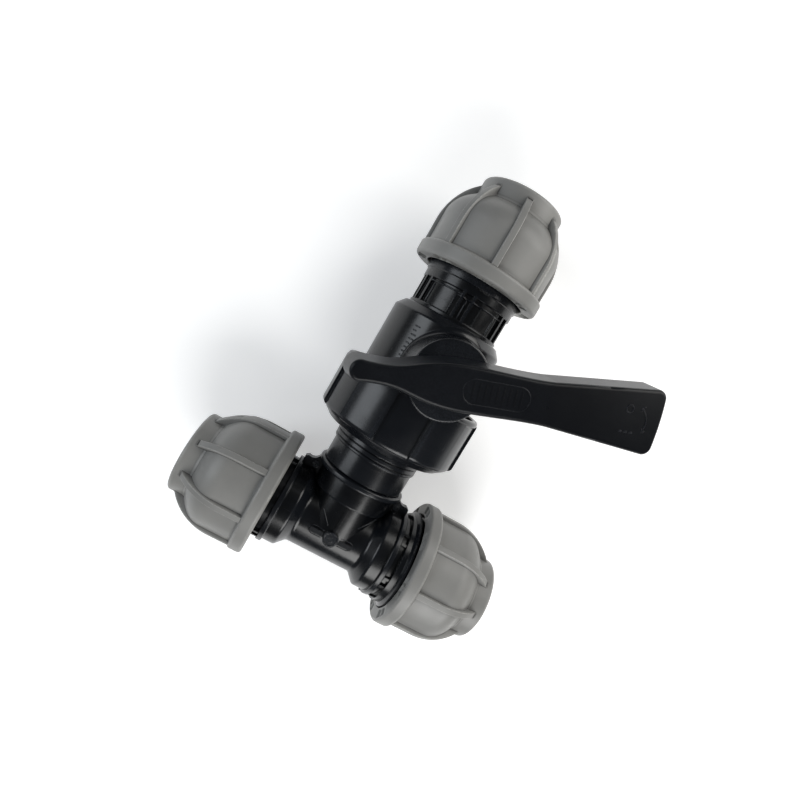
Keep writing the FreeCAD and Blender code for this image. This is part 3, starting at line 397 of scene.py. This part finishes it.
def rib_columns():
    """Signed distances in mm from a rib's middle, and the share of the way to the next valley."""
    near = [
        0.0, 0.45, 0.8, 1.0, 1.12, 1.24, 1.36, 1.48, 1.6, 1.72, 1.86, 2.02, 2.22, 2.5, 2.85, 3.0, 3.15, 3.5,
        RIB_REACH,
    ]
    columns = [(t, 0.0) for t in near] + [(RIB_REACH, share) for share in (0.15, 0.32, 0.5, 0.68, 0.86)]
    backwards = [(-t, -share) for t, share in columns[1:]][::-1]
    return backwards + columns + [(RIB_REACH, 1.0)]


def nut_mesh():
    """Ribbed nut about Z with its rim face at zero, as one closed mesh in metres."""
    outside, inside = nut_profile()
    line = np.concatenate([outside, inside])
    columns = rib_columns()
    sector = math.tau / RIBS
    rows = []
    for index, (z, r) in enumerate(line):
        on_skin = index < len(outside)
        rib_r = float(arc_radius(np.array(z), RIB_STRAIGHT, RIB_END, RIB_R, COLLAR_R)) if z < RIB_END else 0.0
        spacing_r = max(r, min(rib_r, r + RIB_LIFT), SPREAD_R)
        rise = max(0.0, rib_r - r) if on_skin and RIB_START < z < RIB_STOP else 0.0
        pocketed = on_skin and z < 0.01 and POCKET_INNER_R < r < POCKET_OUTER_R
        row = []
        for number in range(RIBS):
            for offset, share in columns:
                near_angle = offset / spacing_r
                side = 1.0 if offset >= 0 else -1.0
                angle = near_angle + (side * sector / 2 - near_angle) * abs(share)
                distance = abs(offset) if share == 0 else math.inf
                slope = min(max((distance - RIB_HALF) / RIB_FLANK, 0.0), 1.0)
                weight = 1.0 - slope * slope * (3 - 2 * slope)
                radius = r + rise * weight
                height = z
                if pocketed and POCKET_NEAR <= distance <= POCKET_FAR:
                    height = z + POCKET_DEPTH
                turn = angle + number * sector
                row.append((radius * math.cos(turn) * MM, radius * math.sin(turn) * MM, height * MM))
        rows.append(row)
    return np.array(rows)


def nuts():
    """The three nuts have the same shape, each aimed along its own pipe from its rim's place in the frame."""
    points = nut_mesh()
    left_rim = Vector((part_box("left_nut")[1].x, 0, 0))
    right_rim = Vector((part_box("right_nut")[0].x, 0, 0))
    outlet_rim = Vector((FLOW_X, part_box("outlet_nut")[0].y, 0))
    layout = [
        ("left", left_rim, Vector((-1, 0, 0)), 33.0),
        ("right", right_rim, Vector((1, 0, 0)), -1.0),
        ("outlet", outlet_rim, Vector((0, 1, 0)), -2.0),
    ]
    for prefix, place, way, clock in layout:
        obj = sheets_object(prefix + "_nut_shell", [points], grey, wrap_rows=True, wrap_cols=True)
        aim = Vector((0, 0, 1)).rotation_difference(way).to_matrix().to_4x4()
        obj.data.transform(Matrix.Translation(place) @ aim @ Matrix.Rotation(math.radians(clock), 4, "Z"))
        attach(obj, prefix + "_nut")
        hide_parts(prefix + "_nut")


nuts()


# ------------------------------------------------------------------ marks laid on the mouldings

# A bead's section, as shares of its width and height; its feet are sunk into the surface.
BEAD_SECTION = [(-0.5, -0.25), (-0.36, 0.72), (-0.16, 1.0), (0.16, 1.0), (0.36, 0.72), (0.5, -0.25)]
END_SINK, END_SPREAD = -0.2, 0.6        # a bead's ends are narrower and dip under the surface


def surface_of(node):
    """Search tree over a node's faces, in scene coordinates."""
    obj = frame["nodes"][node]
    corners = [obj.matrix_world @ vertex.co for vertex in obj.data.vertices]
    return BVHTree.FromPolygons(corners, [tuple(face.vertices) for face in obj.data.polygons])


def laid_bead(surface, path, look, width, height, closed=False):
    """Raised bead along a path of points, dropped along a direction onto a surface, as a grid of points."""
    spots = []
    for point in path:
        place, normal, _, _ = surface.ray_cast(point, look)
        spots.append((np.array(place), np.array(normal)))
    count = len(spots)
    rows = []
    for index, (place, normal) in enumerate(spots):
        after = spots[(index + 1) % count if closed else min(index + 1, count - 1)][0]
        before = spots[(index - 1) % count if closed else max(index - 1, 0)][0]
        side = np.cross(after - before, normal)
        side /= np.linalg.norm(side)
        at_end = not closed and index in (0, count - 1)
        lift = END_SINK if at_end else 1.0
        spread = END_SPREAD if at_end else 1.0
        rows.append([
            place + side * width * spread * across + normal * height * min(up, up * lift)
            for across, up in BEAD_SECTION
        ])
    return np.array(rows)


def circle(x, y, radius, count):
    """Points (x, y) evenly round a circle, in mm."""
    angles = [math.tau * number / count for number in range(count)]
    return [(x + radius * math.cos(angle), y + radius * math.sin(angle)) for angle in angles]


def beads(name, sheets, material, body, closed=False):
    """One piece made of laid beads, riding on a body."""
    obj = sheets_object(name, sheets, material, wrap_rows=closed)
    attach(obj, body)
    return obj


def obround(centre_u, half_length, half_width, count=44):
    """Points (u, v) around a slot shape with round ends, in mm."""
    straight = half_length - half_width
    out = []
    for number in range(count):
        angle = math.tau * number / count
        shift = straight if math.cos(angle) >= 0 else -straight
        out.append((centre_u + shift + half_width * math.cos(angle), half_width * math.sin(angle)))
    return out


def divided(points, pitch, closed=False):
    """Points with long gaps divided to at most the pitch."""
    line = [np.array(p, float) for p in points]
    if closed:
        line.append(line[0])
    line = resampled(np.array(line), pitch)
    return line[:-1] if closed else line


LEVER_FRAME = (
    Matrix.Translation((FLOW_X, 0.0, 0.0)) @ Matrix.Rotation(ROLL, 4, "Y")
    @ Matrix.Translation((0.0, BALL_Y, 0.0)) @ Matrix.Rotation(LEVER_TURN, 4, "Z")
)
LEVER_SKY = 60.0         # height, in mm, from which marks are dropped onto the lever
PAD_MIDDLE, PAD_HALF_LENGTH, PAD_HALF_WIDTH = 13.2, 12.2, 4.3   # grip pad on the lever's top, in mm
PAD_BARS, FIRST_BAR, BAR_PITCH, BAR_HALF = 9, 4.4, 2.2, 3.35
ARROW_TOP, ARROW_BULGE, ARROW_FOOT = np.array([(68.9, 5.0), (73.4, 1.0), (71.3, -4.2)])
TOP_BARBS = ((1.7, 0.5), (0.1, -1.7))   # each barb's end, from its tip
FOOT_BARBS = ((-0.3, 1.7), (1.3, 1.0))
DASH_ALONG, DASH_ACROSS, DASH_HALF = (62.6, 64.8, 67.0), -4.7, 0.8
RING_MIDDLE, RING_R = (64.0, 3.9), 1.4


def lever_marks():
    """Grip pad with its outline and fine cross bars, and generic turn marks at the lever's end."""
    surface = surface_of("lever")
    down = (LEVER_FRAME.to_3x3() @ Vector((0, 0, -1))).normalized()

    def above(points):
        return [LEVER_FRAME @ Vector((u * MM, v * MM, LEVER_SKY * MM)) for u, v in points]

    pad = obround(PAD_MIDDLE, PAD_HALF_LENGTH, PAD_HALF_WIDTH)
    outline = above(divided(pad, 0.7, closed=True))
    sheets = [laid_bead(surface, outline, down, 0.00042, 0.00013, closed=True)]
    beads("lever_pad_outline", sheets, satin, "spindle", closed=True)
    bars = []
    for number in range(PAD_BARS):
        u = FIRST_BAR + BAR_PITCH * number
        bar = above(divided([(u, -BAR_HALF), (u, BAR_HALF)], 0.8))
        bars.append(laid_bead(surface, bar, down, 0.0010, 0.00004))
    beads("lever_pad_bars", bars, satin, "spindle")
    sweep = [
        (1 - t) ** 2 * ARROW_TOP + 2 * t * (1 - t) * ARROW_BULGE + t * t * ARROW_FOOT
        for t in np.linspace(0, 1, 15)
    ]
    marks = [laid_bead(surface, above(sweep), down, 0.00055, 0.00026)]
    for tip, barbs in ((ARROW_TOP, TOP_BARBS), (ARROW_FOOT, FOOT_BARBS)):
        for barb in barbs:
            end = (tip[0] + barb[0], tip[1] + barb[1])
            marks.append(laid_bead(surface, above(divided([tip, end], 0.5)), down, 0.0005, 0.00024))
    for u in DASH_ALONG:
        dash = divided([(u - DASH_HALF, DASH_ACROSS), (u + DASH_HALF, DASH_ACROSS)], 0.4)
        marks.append(laid_bead(surface, above(dash), down, 0.0009, 0.00026))
    beads("lever_turn_marks", marks, satin, "spindle")
    ring = laid_bead(surface, above(circle(*RING_MIDDLE, RING_R, 24)), down, 0.0006, 0.00026, closed=True)
    beads("lever_ring_mark", [ring], satin, "spindle", closed=True)


lever_marks()


TEE_SKY = 0.04           # height from which marks are dropped onto the tee, from above and below
SLOT_ARM = [(3.5, 1.9), (8.0, 1.9), (9.3, 1.3), (9.9, 0.0)]     # a quarter of the outline round the gate
TEE_RIDGES = (((6.5, 9.4), (11.5, 4.3)), ((22.6, 8.2), (28.4, 13.4)))
GATE_RINGS = ((15.0, 0.0, 2.7), (15.0, 0.0, 1.0))               # (x, y, radius) in mm
WEB_PIPS = ((-4.3, 19.3, 1.5), (34.3, 19.3, 1.5))


def tee_marks():
    """Slot outline and rings of the gate disc, two short ridges, and a pip in each web, front and back."""
    surface = surface_of("tee_body")
    for name, side in (("front", 1), ("back", -1)):
        look = Vector((0, 0, -side))
        arms = []
        for way in (-1, 1):
            points = [(way * x, y) for x, y in SLOT_ARM] + [(way * x, -y) for x, y in SLOT_ARM[-2::-1]]
            path = [Vector((FLOW_X + x * MM, y * MM, side * TEE_SKY)) for x, y in divided(points, 0.5)]
            arms.append(laid_bead(surface, path, look, 0.0004, 0.00018))
        for ridge in TEE_RIDGES:
            path = [Vector((x * MM, y * MM, side * TEE_SKY)) for x, y in divided(ridge, 0.5)]
            arms.append(laid_bead(surface, path, look, 0.0005, 0.00026))
        beads("tee_slot_outline_" + name, arms, black, "tee")
        rings = []
        for ring in GATE_RINGS + WEB_PIPS:
            path = [Vector((x * MM, y * MM, side * TEE_SKY)) for x, y in circle(*ring, 28)]
            rings.append(laid_bead(surface, path, look, 0.00045, 0.0002, closed=True))
        beads("tee_round_marks_" + name, rings, black, "tee", closed=True)


tee_marks()


DASH_TURN = math.radians(-33.0)         # where the row of dashes lies round the barrel
DASHES, FIRST_DASH_Y, DASH_PITCH = 11, 72.4, 1.75
DASH_START, DASH_END, SHORT_DASH_END = -0.8, 0.9, 0.4       # reach round the barrel, in mm
DASH_SPREAD = math.radians(2.4)         # angle round the barrel for each mm of a dash
BARREL_SKY = 0.04


def barrel_marks():
    """Row of plain raised dashes along the barrel's shoulder, in place of lettering."""
    surface = surface_of("valve_body")
    look = Vector((-math.sin(DASH_TURN), 0.0, -math.cos(DASH_TURN)))
    dashes = []
    for number in range(DASHES):
        y = FIRST_DASH_Y + DASH_PITCH * number
        ends = [(y, DASH_START), (y, DASH_END if number % 3 else SHORT_DASH_END)]
        path = []
        for along, across in divided(ends, 0.45):
            tilt = DASH_TURN + across * DASH_SPREAD
            path.append(Vector((
                FLOW_X + math.sin(tilt) * BARREL_SKY, along * MM, math.cos(tilt) * BARREL_SKY)))
        dashes.append(laid_bead(surface, path, look, 0.0007, 0.00016))
    beads("barrel_dashes", dashes, black, "valve")


barrel_marks()


NECK_SKY = 0.03
# Each frame's lowest and highest angle round the neck, in degrees, and its start and end along it, in mm.
NECK_FRAMES = ((-52, -20, 99.6, 108.4), (-6, 34, 99.6, 107.6), (128, 166, 99.6, 108.0))


def neck_frames():
    """Raised frames round the recesses in the neck between the barrel and the outlet nut."""
    surface = surface_of("valve_body")
    strips = []

    def neck_point(degrees, y):
        tilt = math.radians(degrees)
        return Vector((FLOW_X + math.sin(tilt) * NECK_SKY, y * MM, math.cos(tilt) * NECK_SKY))

    for low, high, start, end in NECK_FRAMES:
        corners = [(low, start), (low, end), (high, end), (high, start)]
        for (deg_a, y_a), (deg_b, y_b) in zip(corners[:-1], corners[1:]):
            count = 1 + max(6, int(abs(deg_b - deg_a) / 2))
            spots = [
                neck_point(deg_a + (deg_b - deg_a) * t, y_a + (y_b - y_a) * t)
                for t in np.linspace(0, 1, count)
            ]
            halfway = spots[count // 2]
            look = Vector((FLOW_X - halfway.x, 0.0, -halfway.z)).normalized()
            strips.append(laid_bead(surface, spots, look, 0.0008, 0.00042))
    beads("neck_recess_frames", strips, black, "valve")


neck_frames()


# ------------------------------------------------------------------ blend between boss and barrel

BOSS_R, BARREL_R, FILLET_R = 15.32, 24.0, 3.2       # in mm
BARREL_START_Y = 70.2    # the fillet ends where the barrel does, on the union's side
FILLET_STEPS, FILLET_ARC_STEPS = 120, 10
FILLET_SINK = 0.04       # the fillet's edges run this far into the walls, so that no gap shows


def boss_blend():
    """Moulded fillet where the upright stem boss stands on the valve's barrel, traced by a rolling ball."""
    roll = Matrix.Translation((FLOW_X, 0.0, 0.0)) @ Matrix.Rotation(ROLL, 4, "Y")
    reach = BOSS_R + FILLET_R
    low_angle = math.asin((BARREL_START_Y - BALL_Y / MM) / reach)
    rows = []
    for step in range(FILLET_STEPS + 1):
        angle = low_angle + (math.pi - 2 * low_angle) * step / FILLET_STEPS
        centre = np.array([reach * math.cos(angle), reach * math.sin(angle) + BALL_Y / MM, 0.0])
        centre[2] = math.sqrt((BARREL_R + FILLET_R) ** 2 - centre[0] ** 2)
        upper = np.array([-math.cos(angle), -math.sin(angle), 0.0])
        lower = np.array([-centre[0], 0.0, -centre[2]]) / (BARREL_R + FILLET_R)
        sweep = math.acos(float(upper @ lower))
        row = []
        for number in range(FILLET_ARC_STEPS + 1):
            share = number / FILLET_ARC_STEPS
            way = (math.sin((1 - share) * sweep) * upper + math.sin(share * sweep) * lower) / math.sin(sweep)
            touch = centre + way * (FILLET_R + FILLET_SINK)
            row.append(list(roll @ Vector((touch * MM).tolist())))
        rows.append(row)
    obj = sheets_object("boss_blend", [np.array(rows)], black)
    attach(obj, "valve")


boss_blend()


# ------------------------------------------------------------------ floor and finish

def floor():
    """Plain pale floor just under the object, with a faint glow that keeps its far parts pale."""
    mesh = bpy.data.meshes.new("floor")
    half = 3.0
    corners = [(-half, -half, 0), (half, -half, 0), (half, half, 0), (-half, half, 0)]
    mesh.from_pydata(corners, [], [(0, 1, 2, 3)])
    obj = bpy.data.objects.new("floor", mesh)
    obj.location = (0.0, 0.0, cad_box[0][2] - 0.0005)
    scene.collection.objects.link(obj)
    material, tree, shader = new_material("floor_paper", "floor", (0.93, 0.93, 0.93), 0.85, 0.2)
    tone = ramp(tree, noise(tree, 3.0, 3.0), [(0.3, 0.92), (0.7, 0.94)])
    tree.links.new(tone, shader.inputs["Base Color"])
    shader.inputs["Emission Color"].default_value = (1.0, 1.0, 1.0, 1.0)
    shader.inputs["Emission Strength"].default_value = 0.36
    obj.data.materials.append(material)


floor()
